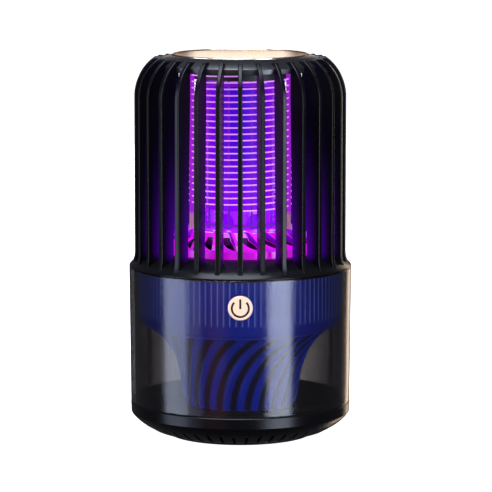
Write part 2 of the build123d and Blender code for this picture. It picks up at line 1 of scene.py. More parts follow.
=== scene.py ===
# %% [markdown]
# # A cordless insect killer, dressed in Blender
# The solid model gives every piece its place. This lesson loads it as a fixed frame,
# rebuilds the pieces that the eye rests on with clean round meshes, and gives each
# piece a finish that is worked out in nodes. Sizes are written in millimetres, as a
# maker would say them, and turned to metres in one place.

# %% Load the frame
import math

import bmesh
import bpy
from mathutils import Matrix, Vector


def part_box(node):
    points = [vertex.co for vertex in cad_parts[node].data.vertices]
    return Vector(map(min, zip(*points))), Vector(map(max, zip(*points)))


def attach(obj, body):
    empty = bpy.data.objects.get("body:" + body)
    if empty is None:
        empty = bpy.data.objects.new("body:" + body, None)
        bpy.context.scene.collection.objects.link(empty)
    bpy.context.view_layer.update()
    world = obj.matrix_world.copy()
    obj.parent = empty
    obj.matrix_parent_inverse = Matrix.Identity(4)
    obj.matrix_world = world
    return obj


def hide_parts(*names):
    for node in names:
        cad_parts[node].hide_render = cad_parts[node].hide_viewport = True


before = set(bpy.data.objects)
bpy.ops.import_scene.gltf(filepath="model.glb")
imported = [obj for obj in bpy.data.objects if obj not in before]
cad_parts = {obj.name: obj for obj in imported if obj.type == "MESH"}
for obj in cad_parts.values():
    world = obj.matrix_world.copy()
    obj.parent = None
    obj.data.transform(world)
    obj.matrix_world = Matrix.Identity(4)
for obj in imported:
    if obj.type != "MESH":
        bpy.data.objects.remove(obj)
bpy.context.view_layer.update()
MM = 0.001

# %% [markdown]
# Colours are picked as the hex values a screen shows. Blender's sockets want linear
# light, so one function turns the first into the second.

# %% Colour
def tint(code):
    """Linear RGBA from an sRGB hex code."""
    channels = [int(code[i:i + 2], 16) / 255 for i in (1, 3, 5)]
    linear = [c / 12.92 if c <= 0.04045 else ((c + 0.055) / 1.055) ** 2.4 for c in channels]
    return (*linear, 1.0)


print("mid grey is", round(tint("#808080")[0], 3))

# %% [markdown]
# A finish is a small tree of nodes. One function adds any node, sets its values and
# joins its links, so that a material reads as a list of what feeds what.

# %% Node helper
def add(tree, kind, values=None, links=None):
    """Adds a node. Values set sockets or options, and links join sockets."""
    node = tree.nodes.new(kind)
    for key, value in (values or {}).items():
        if isinstance(key, str) and key not in node.inputs:
            setattr(node, key, value)
        else:
            node.inputs[key].default_value = value
    for key, socket in (links or {}).items():
        tree.links.new(socket, node.inputs[key])
    return node


def new_finish(name):
    """An empty material, its tree, its output node and object-space coordinates in metres."""
    material = bpy.data.materials.new(name)
    material.use_nodes = True
    tree = material.node_tree
    tree.nodes.clear()
    output = add(tree, "ShaderNodeOutputMaterial")
    place = add(tree, "ShaderNodeTexCoord").outputs["Object"]
    return material, tree, output, place


finishes = {}
print("node helper ready")

# %% [markdown]
# ## Black ABS
# The cage, tray and deck are moulded ABS. A mould polished but not mirrored leaves a
# fine orange peel about a millimetre across, and handling leaves cloudy patches that
# are a little rougher. Both are noise: the small one drives a bump, and the large one
# the roughness, so highlights break up as they do on the real moulding.

# %% Moulded plastics
def moulded(name, dark, light, smooth, rough, peel=0.00002, ior=1.53):
    """Moulded plastic: cloudy colour and roughness, and a fine orange peel."""
    material, tree, output, place = new_finish(name)
    cloud = add(tree, "ShaderNodeTexNoise", {"Scale": 45.0, "Detail": 3.0}, {"Vector": place})
    grain = add(tree, "ShaderNodeTexNoise", {"Scale": 900.0, "Detail": 2.0}, {"Vector": place})
    colour = add(tree, "ShaderNodeMix", {"data_type": "RGBA", 6: tint(dark), 7: tint(light)},
                 {0: cloud.outputs["Fac"]})
    gloss = add(tree, "ShaderNodeMapRange",
                {"From Min": 0.3, "From Max": 0.7, "To Min": smooth, "To Max": rough},
                {"Value": cloud.outputs["Fac"]})
    bump = add(tree, "ShaderNodeBump", {"Strength": 0.25, "Distance": peel}, {"Height": grain.outputs["Fac"]})
    shader = add(tree, "ShaderNodeBsdfPrincipled", {"IOR": ior},
                 {"Base Color": colour.outputs[2], "Roughness": gloss.outputs["Result"],
                  "Normal": bump.outputs["Normal"]})
    tree.links.new(shader.outputs[0], output.inputs["Surface"])
    finishes[name] = material
    return material


moulded("black_abs_low_gloss", "#070708", "#0E0E10", 0.2, 0.28, ior=1.24)
moulded("black_abs_satin", "#0A0A0C", "#141417", 0.30, 0.42)
moulded("black_abs_matt", "#0C0C0E", "#18181B", 0.45, 0.6)
moulded("black_rubber", "#101011", "#1A1A1B", 0.65, 0.8, 0.00006, 1.5)
moulded("chip_epoxy", "#101012", "#1C1C1E", 0.5, 0.65)
moulded("circuit_board_lacquer", "#0B3A1C", "#11502A", 0.3, 0.45)
moulded("cell_sleeve_film", "#0E5A2C", "#156B36", 0.2, 0.35)
moulded("white_board_lacquer", "#C9C4DA", "#DAD6EA", 0.35, 0.5)
moulded("brown_inlay", "#24140E", "#301C14", 0.4, 0.5, ior=1.3)
print("moulded:", sorted(finishes))

# %% [markdown]
# ## Metals
# The dish on top is spun rose gold foil. The button is a moulding under a thin satin
# coat of the same colour, so it is hardly metallic. The fan's shaft and the charging
# socket are drawn steel. A metal's colour sits in its base colour, and the lines are a
# very low bump from stretched noise.

# %% Metals
def metal(name, dark, light, smooth, rough, stretch, height=0.000015, metallic=1.0):
    """Worked metal: colour and roughness wander along the direction it was worked in."""
    material, tree, output, place = new_finish(name)
    along = add(tree, "ShaderNodeMapping", {"Scale": stretch}, {"Vector": place})
    lines = add(tree, "ShaderNodeTexNoise", {"Scale": 1.0, "Detail": 4.0}, {"Vector": along.outputs[0]})
    colour = add(tree, "ShaderNodeMix", {"data_type": "RGBA", 6: tint(dark), 7: tint(light)},
                 {0: lines.outputs["Fac"]})
    gloss = add(tree, "ShaderNodeMapRange", {"To Min": smooth, "To Max": rough},
                {"Value": lines.outputs["Fac"]})
    bump = add(tree, "ShaderNodeBump", {"Strength": 0.3, "Distance": height},
               {"Height": lines.outputs["Fac"]})
    shader = add(tree, "ShaderNodeBsdfPrincipled", {"Metallic": metallic},
                 {"Base Color": colour.outputs[2], "Roughness": gloss.outputs["Result"],
                  "Normal": bump.outputs["Normal"]})
    tree.links.new(shader.outputs[0], output.inputs["Surface"])
    finishes[name] = material
    return material


metal("rose_gold_button", "#F6CDA4", "#FCDCBC", 0.34, 0.44, (900, 900, 900), metallic=0.05)
metal("drawn_steel", "#A8A4B0", "#D8D4E0", 0.25, 0.4, (2000, 2000, 200))
metal("plated_brass", "#B98A7C", "#D9AFA0", 0.3, 0.45, (2000, 2000, 200))
metal("zinc_plate", "#8E8F94", "#B4B5BA", 0.3, 0.45, (1500, 1500, 1500))
metal("enamelled_copper", "#8A4524", "#B4683C", 0.25, 0.4, (200, 200, 4000))


def spun_gold(name):
    """Rose gold spun in rings, with painted shade: its reflection turns brown on the left and right flanks.
    """
    material = metal(name, "#F4D2AE", "#FADFC0", 0.16, 0.24, (300, 300, 300))
    tree = material.node_tree
    shader = tree.nodes["Principled BSDF"]
    place = tree.nodes["Texture Coordinate"].outputs["Object"]
    # Painted shade: the specular tint turns brown towards the left and right flanks.
    side = add(tree, "ShaderNodeMath", {"operation": "ABSOLUTE"},
               {0: add(tree, "ShaderNodeSeparateXYZ", None, {0: place}).outputs["X"]})
    painted_flank_mask = add(tree, "ShaderNodeMapRange",
                {"interpolation_type": "SMOOTHSTEP", "From Min": 0.022, "From Max": 0.031},
                {"Value": side.outputs[0]})
    edge = add(tree, "ShaderNodeMix", {"data_type": "RGBA", 6: tint("#FFFFFF"), 7: tint("#846A60")},
               {0: painted_flank_mask.outputs["Result"]})
    tree.links.new(edge.outputs[2], shader.inputs["Specular Tint"])


spun_gold("rose_gold_foil")
print("metals ready")

# %% [markdown]
# ## Lit plastic
# The lamp's violet light fills the clear tube, its frosted bore and the swirl inlet
# below. Here the LED chips get their own glow, while the grid wire, inner rods and lamp
# socket get painted lamp light: an emission set on the shader, made a little uneven by noise, as light inside
# real plastic is.

# %% Lit plastics
def lit(name, body, glow, strength, rough=0.3, spread=0.35):
    """A glossy body with an uneven emission: a lamp chip's own glow, or painted lamp light."""
    material, tree, output, place = new_finish(name)
    cloud = add(tree, "ShaderNodeTexNoise", {"Scale": 60.0, "Detail": 2.0}, {"Vector": place})
    power = add(tree, "ShaderNodeMapRange",
                {"To Min": strength * (1 - spread), "To Max": strength * (1 + spread)},
                {"Value": cloud.outputs["Fac"]})
    shader = add(tree, "ShaderNodeBsdfPrincipled",
                 {"Base Color": tint(body), "Roughness": rough, "Emission Color": tint(glow)},
                 {"Emission Strength": power.outputs["Result"]})
    tree.links.new(shader.outputs[0], output.inputs["Surface"])
    finishes[name] = material
    return material


lit("violet_lamp_chip", "#6020FF", "#8040FF", 3.0, 0.3, 0.1)
# Painted light: the wire, rods and socket are no lamps. The wire's pink colour and the glow of all three are
# painted lamp light.
lit("lit_grid_wire", "#B880D0", "#F09CFF", 0.66, 0.4, 0.25)
lit("lit_inner_rod", "#300050", "#8400E0", 0.6, 0.7, 0.2)
lit("lamplit_socket_plastic", "#A020F0", "#8A00FF", 0.8, 0.3, 0.4)
print("lit plastics ready")

# %% [markdown]
# Five finishes stand half in the light, and four carry painted lamp light. The swirl inlet
# has a painted glow where it faces up to the lamp, painted highlights palest at the inner
# tips of its vanes, bluer painted light on their flanks, and no glow in its slots, which stay dark. The grid
# posts are bare brass at their feet, with painted violet lamp light higher up. The frosted core is bluest at
# its top, the fins have painted violet light on their inner flanks, and the blue funnel has a painted glow,
# painted shade in its grooves and a painted highlight on its fine ribs.

# %% Half-lit pieces
def ramp(tree, value, low, high, bottom=0.0, top=1.0):
    """Smooth step of a value from one number to another."""
    return add(tree, "ShaderNodeMapRange",
               {"interpolation_type": "SMOOTHSTEP", "From Min": low, "From Max": high,
                "To Min": bottom, "To Max": top},
               {"Value": value}).outputs["Result"]


def maths(tree, operation, first, second):
    """Arithmetic on two sockets, or on a socket and a number."""
    node = add(tree, "ShaderNodeMath", {"operation": operation}, {0: first})
    if isinstance(second, (int, float)):
        node.inputs[1].default_value = second
    else:
        tree.links.new(second, node.inputs[1])
    return node.outputs[0]


def swirl_finish(name):
    """Violet polycarbonate with painted lamp light: a glow on its upper faces, bluer on the rib flanks, pale
    highlights at the vane tips.
    """
    material, tree, output, place = new_finish(name)
    flat = add(tree, "ShaderNodeVectorMath", {"operation": "MULTIPLY", 1: (1.0, 1.0, 0.0)}, {0: place})
    radius = add(tree, "ShaderNodeVectorMath", {"operation": "LENGTH"}, {0: flat.outputs[0]}).outputs["Value"]
    facing = add(tree, "ShaderNodeTexCoord").outputs["Normal"]
    up = add(tree, "ShaderNodeSeparateXYZ", None, {0: facing}).outputs["Z"]
    # Painted light: faces turned up to the lamp glow, and so does the outer band. The glow weakens towards
    # the rim.
    lit_up = ramp(tree, up, 0.12, 0.8, 0.0, 1.0)
    painted_glow_falloff = ramp(tree, radius, 0.030, 0.043, 1.0, 0.75)
    band = ramp(tree, radius, 0.0428, 0.0431, 0.0, 0.85)
    lit_up = maths(tree, "MAXIMUM", lit_up, band)
    height = add(tree, "ShaderNodeSeparateXYZ", None, {0: place}).outputs["Z"]
    # Painted light in a bluer violet on the rib flanks that rise above the dome.
    slope, apex = -0.458, 0.12378
    dome = maths(tree, "ADD", maths(tree, "MULTIPLY", radius, slope), apex)
    painted_flank_mask = maths(tree, "MULTIPLY", ramp(tree, maths(tree, "SUBTRACT", height, dome), 0.0, 0.0006),
                  ramp(tree, lit_up, 0.0, 0.3, 1.0, 0.0))
    cloud = add(tree, "ShaderNodeTexNoise", {"Scale": 120.0, "Detail": 2.0}, {"Vector": place})
    uneven = ramp(tree, cloud.outputs["Fac"], 0.3, 0.7, 0.75, 1.1)
    painted_glow_share = maths(tree, "MAXIMUM", lit_up, maths(tree, "MULTIPLY", painted_flank_mask, 0.6))
    power = maths(tree, "MULTIPLY", maths(tree, "MULTIPLY", painted_glow_share, painted_glow_falloff), uneven)
    # Painted highlight: the glow goes pale at the inner vane tips.
    painted_tip_highlight = maths(tree, "MULTIPLY", ramp(tree, radius, 0.0262, 0.0288, 1.0, 0.0), 0.75)
    face = add(tree, "ShaderNodeMix", {"data_type": "RGBA", 6: tint("#EE00FF"), 7: tint("#7A00F8")},
               {0: painted_flank_mask})
    glow = add(tree, "ShaderNodeMix", {"data_type": "RGBA", 7: tint("#F6C8FF")}, {0: painted_tip_highlight, 6: face.outputs[2]})
    shader = add(tree, "ShaderNodeBsdfPrincipled", {"Base Color": tint("#500060"), "Roughness": 0.35},
                 {"Emission Color": glow.outputs[2], "Emission Strength": power})
    tree.links.new(shader.outputs[0], output.inputs["Surface"])
    finishes[name] = material


def post_finish(name):
    """Brass strip whose upper part carries painted violet lamp light: a violet colour and a glow."""
    material, tree, output, place = new_finish(name)
    height = add(tree, "ShaderNodeSeparateXYZ", None, {0: place}).outputs["Z"]
    # Painted light: above this height the brass is painted violet and given a glow.
    share = ramp(tree, height, 0.1195, 0.1225)
    colour = add(tree, "ShaderNodeMix", {"data_type": "RGBA", 6: tint("#D8A29E"), 7: tint("#6A1088")},
                 {0: share})
    power = maths(tree, "MULTIPLY", share, 0.55)
    shader = add(tree, "ShaderNodeBsdfPrincipled",
                 {"Metallic": 0.1, "Roughness": 0.6, "IOR": 1.2, "Emission Color": tint("#BC28F0")},
                 {"Base Color": colour.outputs[2], "Emission Strength": power})
    tree.links.new(shader.outputs[0], output.inputs["Surface"])
    finishes[name] = material


def core_finish(name):
    """Frosted bore that glows blue-violet at its top and purple at its foot."""
    material, tree, output, place = new_finish(name)
    height = add(tree, "ShaderNodeSeparateXYZ", None, {0: place}).outputs["Z"]
    glow = add(tree, "ShaderNodeMix", {"data_type": "RGBA", 6: tint("#9400F4"), 7: tint("#4A00CC")},
               {0: ramp(tree, height, 0.115, 0.165)})
    cloud = add(tree, "ShaderNodeTexNoise", {"Scale": 40.0, "Detail": 2.0}, {"Vector": place})
    power = ramp(tree, cloud.outputs["Fac"], 0.25, 0.75, 0.72, 0.98)
    shader = add(tree, "ShaderNodeBsdfPrincipled", {"Base Color": tint("#20005A"), "Roughness": 0.6},
                 {"Emission Color": glow.outputs[2], "Emission Strength": power})
    tree.links.new(shader.outputs[0], output.inputs["Surface"])
    finishes[name] = material


def fin_finish(name):
    """Low-gloss black with painted violet lamp light on its inner flanks, strongest near the foot."""
    material = moulded(name, "#060607", "#0B0B0D", 0.24, 0.34, ior=1.25)
    tree = material.node_tree
    shader = tree.nodes["Principled BSDF"]
    place = tree.nodes["Texture Coordinate"].outputs["Object"]
    flat = add(tree, "ShaderNodeVectorMath", {"operation": "MULTIPLY", 1: (1.0, 1.0, 0.0)}, {0: place})
    radius = add(tree, "ShaderNodeVectorMath", {"operation": "LENGTH"}, {0: flat.outputs[0]}).outputs["Value"]
    height = add(tree, "ShaderNodeSeparateXYZ", None, {0: place}).outputs["Z"]
    # Painted light: an emission that grows inwards and towards the foot, above a height of about 100 mm.
    inner = ramp(tree, radius, 0.048, 0.0562, 1.0, 0.0)
    foot = maths(tree, "POWER", ramp(tree, height, 0.098, 0.19, 1.0, 0.28), 3.5)
    above = ramp(tree, height, 0.0965, 0.103)
    reach = maths(tree, "MULTIPLY", maths(tree, "MULTIPLY", inner, foot), above)
    power = maths(tree, "MULTIPLY", reach, 0.26)
    shader.inputs["Emission Color"].default_value = tint("#7600F0")
    tree.links.new(power, shader.inputs["Emission Strength"])


def funnel_finish(name):
    """Blue plastic with painted lamp light: a glow, a painted highlight on its fine ribs, and painted
    brown-black shade in its grooves.
    """
    material, tree, output, place = new_finish(name)
    groove = add(tree, "ShaderNodeAttribute", {"attribute_name": "groove"}).outputs["Fac"]
    # Painted shade: the grooves turn brown-black and lose most of their glow.
    painted_groove_shade = ramp(tree, groove, 0.35, 0.95)
    cloud = add(tree, "ShaderNodeTexNoise", {"Scale": 45.0, "Detail": 3.0}, {"Vector": place})
    colour = add(tree, "ShaderNodeMix", {"data_type": "RGBA", 6: tint("#1424D0"), 7: tint("#1C0F12")},
                 {0: painted_groove_shade})
    # Painted highlight along the fine ribs. The rest of the glow is painted lamp light.
    painted_rib_highlight = ramp(tree, groove, -0.9, -0.1, 1.0, 0.0)
    power = maths(tree, "ADD", maths(tree, "MULTIPLY", painted_rib_highlight, 0.55),
                  maths(tree, "MULTIPLY", ramp(tree, painted_groove_shade, 0.0, 1.0, 0.4, 0.03),
                        ramp(tree, cloud.outputs["Fac"], 0.3, 0.7, 0.8, 1.15)))
    glow = add(tree, "ShaderNodeMix", {"data_type": "RGBA", 6: tint("#2040FF"), 7: tint("#6E8CFF")},
               {0: painted_rib_highlight})
    shader = add(tree, "ShaderNodeBsdfPrincipled", {"Roughness": 0.3},
                 {"Base Color": colour.outputs[2], "Emission Color": glow.outputs[2],
                  "Emission Strength": power})
    tree.links.new(shader.outputs[0], output.inputs["Surface"])
    finishes[name] = material


swirl_finish("swirl_polycarbonate_painted_light")
post_finish("lamplit_brass")
core_finish("frosted_lamp_core")
fin_finish("lamplit_black_abs")
funnel_finish("blue_abs_painted_light")
print("half-lit pieces ready")

# %% [markdown]
# ## Clear plastics
# The tank is smoked polycarbonate and the tube clear acrylic. Each wall has two
# surfaces, so each surface takes half of the smoke. A mix of a see-through shader and
# a dark glossy one gives that: the mix rises towards grazing angles, where the light
# goes through more plastic and the gloss is stronger.

# %% Clear plastics
def clear(name, through, body, face_on, edge_on, rough, ior, glow=None, strength=0.0):
    """See-through plastic whose smoke and gloss grow towards its edges."""
    material, tree, output, place = new_finish(name)
    smear = add(tree, "ShaderNodeTexNoise", {"Scale": 30.0, "Detail": 3.0}, {"Vector": place})
    gloss = add(tree, "ShaderNodeMapRange", {"To Min": rough * 0.7, "To Max": rough * 1.3},
                {"Value": smear.outputs["Fac"]})
    values = {"Base Color": tint(body), "IOR": ior}
    if glow:
        values.update({"Emission Color": tint(glow), "Emission Strength": strength})
    solid = add(tree, "ShaderNodeBsdfPrincipled", values, {"Roughness": gloss.outputs["Result"]})
    window = add(tree, "ShaderNodeBsdfTransparent", {"Color": tint(through)})
    facing = add(tree, "ShaderNodeLayerWeight", {"Blend": 0.6})
    share = add(tree, "ShaderNodeMapRange", {"To Min": face_on, "To Max": edge_on},
                {"Value": facing.outputs["Facing"]})
    mix = add(tree, "ShaderNodeMixShader", None,
              {0: share.outputs["Result"], 1: window.outputs[0], 2: solid.outputs[0]})
    tree.links.new(mix.outputs[0], output.inputs["Surface"])
    finishes[name] = material
    return material


clear("smoked_polycarbonate", "#F2EEEC", "#0C0B0C", 0.36, 0.97, 0.2, 1.75)
clear("clear_acrylic", "#E0D0FF", "#3A0090", 0.04, 0.85, 0.3, 1.1, "#A000F0", 0.85)
print("clear plastics ready")

# %% [markdown]
# ## Round pieces
# Most of this appliance is turned: a closed outline of radius and height swept about
# the centre line. The outline's corners are first rounded a little, because no real
# moulding has a knife edge and the rounding is what catches the light.

# %% Outline and lathe helpers
SEGMENTS = 192


def rounded(outline, radius, steps=4):
    """The closed outline with each real corner eased by up to the radius."""
    result = []
    count = len(outline)
    for i, point in enumerate(outline):
        here = Vector(point)
        back = Vector(outline[i - 1]) - here
        ahead = Vector(outline[(i + 1) % count]) - here
        turn = math.pi - back.angle(ahead)
        if turn < math.radians(25) or here.x < 1e-6:
            result.append(tuple(point))
            continue
        ease = min(radius, 0.45 * back.length, 0.45 * ahead.length)
        start = here + back.normalized() * ease
        end = here + ahead.normalized() * ease
        for k in range(steps + 1):
            t = k / steps
            result.append(tuple((1 - t) ** 2 * start + 2 * t * (1 - t) * here + t * t * end))
    return result


def build(name, points, faces, body, nodes, finish, sharp=35.0):
    """A mesh piece from millimetre points, riding on its body in place of its CAD nodes."""
    mesh = bpy.data.meshes.new(name)
    mesh.from_pydata([tuple(c * MM for c in p) for p in points], [], faces)
    work = bmesh.new()
    work.from_mesh(mesh)
    bmesh.ops.remove_doubles(work, verts=work.verts, dist=1e-7)
    bmesh.ops.dissolve_degenerate(work, edges=work.edges, dist=1e-7)
    bmesh.ops.recalc_face_normals(work, faces=work.faces)
    for edge in work.edges:
        edge.smooth = len(edge.link_faces) == 2 and edge.calc_face_angle() < math.radians(sharp)
    for face in work.faces:
        face.smooth = True
    work.to_mesh(mesh)
    work.free()
    piece = bpy.data.objects.new(name, mesh)
    bpy.context.scene.collection.objects.link(piece)
    mesh.materials.append(finishes[finish])
    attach(piece, body)
    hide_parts(*nodes)
    print(name, len(mesh.polygons), "faces")
    return piece


def lathe(name, outline, body, nodes, finish, ease=0.3, segments=SEGMENTS):
    """Turns a closed outline of (radius, height) about the centre line."""
    rim = rounded(outline, ease) if ease else outline
    points = []
    for k in range(segments):
        a = 2 * math.pi * k / segments
        points += [(r * math.cos(a), r * math.sin(a), z) for r, z in rim]
    n = len(rim)
    faces = [(k * n + i, k * n + (i + 1) % n, (k + 1) % segments * n + (i + 1) % n,
              (k + 1) % segments * n + i) for k in range(segments) for i in range(n)]
    return build(name, points, faces, body, nodes, finish)


print("lathe ready")

# %% [markdown]
# ## The cage
# One black moulding: a sloped collar, thirty upright fins and a domed shoulder. The
# collar and shoulder are turned. Every fin is the same blade, an outline cut from a
# plate that thins towards the top, with its edges bevelled.

# %% Levels read from the frame
def levels(node):
    """Lowest and highest level of a CAD node, in millimetres."""
    low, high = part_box(node)
    return low.z / MM, high.z / MM


body_r = 60.0
cage_low = levels("collar")[0]
top_z = levels("top_dish")[1]
tank_low, tank_high = levels("tank_shell")
print("cage from", round(cage_low, 1), "to", round(top_z, 1))

# %% Collar and shoulder
crest_z = cage_low + 8.9
neck_r = body_r - 16.5
collar = [
    (body_r, cage_low), (body_r, cage_low + 0.6), (body_r - 1.3, cage_low + 2.1),
    (body_r - 4.2, cage_low + 4.3),
    (body_r - 7.6, cage_low + 6.2), (body_r - 11.0, cage_low + 7.8), (body_r - 14.0, crest_z - 0.2),
    (neck_r + 0.6, crest_z), (neck_r, crest_z - 0.5), (neck_r, cage_low), (neck_r + 1.8, cage_low),
    (neck_r + 1.8, crest_z - 2.3), (body_r - 11.2, cage_low + 5.7), (body_r - 7.9, cage_low + 4.1),
    (body_r - 4.6, cage_low + 2.2), (body_r - 2.1, cage_low)]
lathe("cage_collar", collar, "cage", ["collar"], "black_abs_low_gloss")

fin_r = body_r - 3.0
bend_r = 25.0
shoulder_r = 22.5
bend = (fin_r - bend_r, top_z - 22.5)
dish_r = 36.6
dish_z = top_z - 4.1
lip_r = body_r - 13.6
lip_z = top_z - 8.0


def bend_z(r, radius):
    """Height on an arc about the bend's centre."""
    return bend[1] + math.sqrt(radius ** 2 - (r - bend[0]) ** 2)


dome = [(r, bend_z(r, shoulder_r)) for r in [lip_r - (lip_r - dish_r - 0.3) * k / 10 for k in range(11)]]
shoulder = [(0, dish_z - 2.1), (lip_r - 2.9, dish_z - 2.1), (lip_r - 1.8, lip_z), (lip_r, lip_z)] + dome + [
    (dish_r + 0.3, dish_z), (0, dish_z)]
lathe("cage_shoulder", shoulder, "cage", ["shoulder"], "black_abs_satin")

# %% Fins
def fin_outline():
    """Radius and height round the edge of one fin, from its foot up the outside."""
    edge = [(body_r - 1.6, cage_low + 2.2), (body_r - 2.05, cage_low + 3.3), (body_r - 2.5, cage_low + 4.7),
            (body_r - 2.85, cage_low + 6.4), (fin_r, cage_low + 8.3)]
    fin_top = top_z - 1.8
    top_r = bend[0] + math.sqrt(bend_r ** 2 - (fin_top - bend[1]) ** 2)
    end = math.atan2(fin_top - bend[1], top_r - bend[0])
    edge += [(bend[0] + bend_r * math.cos(end * k / 18), bend[1] + bend_r * math.sin(end * k / 18))
             for k in range(19)]
    edge += [(dish_r + 4.4, fin_top - 0.3), (body_r - 15.4, lip_z + 1.2),
             (fin_r - 11.0, lip_z + 1.0), (fin_r - 11.0, top_z - 20.0), (fin_r - 8.6, cage_low + 16.0),
             (fin_r - 8.6, crest_z - 2.0), (body_r - 3.4, cage_low + 2.6)]
    return edge


def fins(count=30, thick=2.6):
    """All the fins as one mesh."""
    edge = fin_outline()
    n = len(edge)
    points, faces = [], []
    for k in range(count):
        a = 2 * math.pi * k / count - math.pi / 2
        c, s = math.cos(a), math.sin(a)
        base = len(points)
        for side in (-1, 1):
            for r, z in edge:
                half = side * (thick / 2 + 0.15 - 0.3 * (z - cage_low) / (top_z - cage_low))
                points.append((r * c - half * s, r * s + half * c, z))
        faces.append([base + i for i in range(n)])
        faces.append([base + n + i for i in reversed(range(n))])
        faces += [(base + i, base + (i + 1) % n, base + n + (i + 1) % n, base + n + i) for i in range(n)]
    return points, faces


points, faces = fins()
blades = build("cage_fins", points, faces, "cage", ["fins"], "lamplit_black_abs")
bevel = blades.modifiers.new("eased edges", "BEVEL")
bevel.width = 0.45 * MM
bevel.segments = 3
bevel.limit_method = "ANGLE"
bevel.angle_limit = math.radians(40)

# %% [markdown]
# ## The dish on top
# A shallow bowl in rose gold foil, let into the shoulder with a plain rim. It is
# concave, so it gathers the light of the whole room into one pale pool.

# %% Top dish
rim_w = 1.2
bowl = []
for k in range(25):
    r = (dish_r - rim_w) * (1 - k / 24)
    bowl.append((r, top_z - 0.35 - 2.0 * (1 - (r / (dish_r - rim_w)) ** 2)))
dish = [(0, dish_z), (dish_r, dish_z), (dish_r, top_z - 0.3), (dish_r - 0.4, top_z),
        (dish_r - rim_w, top_z)] + bowl
lathe("rose_gold_dish", dish, "cage", ["top_dish"], "rose_gold_foil", ease=0.15)

# %% [markdown]
# ## The live wire
# A single steel wire wound as a right-hand helix. A curve with a bevel could make it,
# but a loop that lays a ring of ten points at every step keeps plain, closed mesh.

# %% Grid wire
coil_low, coil_high = levels("zapper_coil")
coil_r, wire_r, pitch = 27.3, 0.38, 3.415
turns = round((coil_high - coil_low - 2 * wire_r) / pitch)
start_z = (coil_low + coil_high) / 2 - turns * pitch / 2
STEPS = 60


def wire_mesh():
    """The helix as a closed tube of ten sides."""
    sides = 10
    points, faces = [], []
    total = turns * STEPS
    for k in range(total + 1):
        a = 2 * math.pi * k / STEPS - math.pi / 2
        z = start_z + pitch * k / STEPS
        for s in range(sides):
            b = 2 * math.pi * s / sides
            r = coil_r + wire_r * math.cos(b)
            points.append((r * math.cos(a), r * math.sin(a), z + wire_r * math.sin(b)))
    for k in range(total):
        for s in range(sides):
            t = (s + 1) % sides
            faces.append((k * sides + s, k * sides + t, (k + 1) * sides + t, (k + 1) * sides + s))
    faces.append(list(range(sides)))
    faces.append([total * sides + s for s in reversed(range(sides))])
    return points, faces


points, faces = wire_mesh()
build("grid_wire", points, faces, "main_unit", ["zapper_coil"], "lit_grid_wire", sharp=60)

# %% [markdown]
# ## The lamp tube
# Clear acrylic with a frosted bore that carries the glow. The bore and the outside are
# faces of one mesh with two finishes, so the bright core sits inside a clear wall.

# %% Lamp tube
tube_low, tube_high = levels("light_tube")
tube_r, tube_wall = 18.5, 2.5
tube = [
    (tube_r - tube_wall, tube_low), (tube_r, tube_low), (tube_r, tube_high - 2), (tube_r - 2, tube_high),
    (0, tube_high), (0, tube_high - tube_wall), (tube_r - tube_wall, tube_high - tube_wall)]
lamp_tube = lathe("lamp_tube", tube, "main_unit", ["light_tube"], "clear_acrylic", ease=0.6)
lamp_tube.data.materials.append(finishes["frosted_lamp_core"])
for face in lamp_tube.data.polygons:
    spot = face.center / MM
    if math.hypot(spot.x, spot.y) < tube_r - tube_wall + 0.2 and spot.z < tube_high - tube_wall + 0.2:
        face.material_index = 1

# %% [markdown]
# ## The funnel
# Blue moulding in two zones. The trumpet is a round horn whose radius carries a wave:
# twenty-four lobes that turn as they climb, which reads as a swirl. The skirt above is
# a plain cylinder with fine upright ribs, given a painted highlight brighter than the wall between.

# %% Trumpet
horn_low = levels("funnel")[0]
horn_high = 57.3
horn = [(16.0, 29.6), (21.4, 31.1), (29.3, 32.3), (38.2, 34.3), (46.2, 37.5), (51.7, 41.4), (57.3, 46.9)]
bore = [(43.6, 57.4), (39.0, 53.0), (34.8, 47.5), (31.8, 40.0), (29.6, 32.0), (28.2, 24.0), (26.6, 17.0),
        (26.6, horn_low)]
brim = [(47.4, 57.8, 1.4), (48.6, 58.4, 0.9), (50.4, 59.0, 0.4), (52.0, 59.7, 0.0), (53.2, 60.6, 0.0),
        (54.1, 61.7, 0.0), (54.6, 63.2, 0.0), (54.8, 66.0, 0.0), (53.9, 66.0, 0.0), (53.9, 62.4, 0.0),
        (47.6, 62.4, 0.0)]
LOBES = 24
WAVE = 1.8
TWIST = 32.0


def horn_r(z):
    """Radius of the horn at a height, eased between its stations."""
    for i in range(len(horn) - 1):
        (z0, r0), (z1, r1) = horn[i], horn[i + 1]
        if z <= z1 or i == len(horn) - 2:
            t = (z - z0) / (z1 - z0)
            before = horn[max(i - 1, 0)]
            after = horn[min(i + 2, len(horn) - 1)]
            m0 = (r1 - before[1]) / (z1 - before[0]) * (z1 - z0)
            m1 = (after[1] - r0) / (after[0] - z0) * (z1 - z0)
            return ((2 * t ** 3 - 3 * t ** 2 + 1) * r0 + (t ** 3 - 2 * t ** 2 + t) * m0
                    + (3 * t ** 2 - 2 * t ** 3) * r1 + (t ** 3 - t ** 2) * m1)
    return horn[-1][1]


def bore_r(z):
    """Radius halfway through the wall at a height, between the bore and the grooves."""
    for (r0, z0), (r1, z1) in zip(bore, bore[1:]):
        if z1 <= z <= z0:
            return r1 + (r0 - r1) * (z - z1) / (z0 - z1) + 0.4
    return 0.0


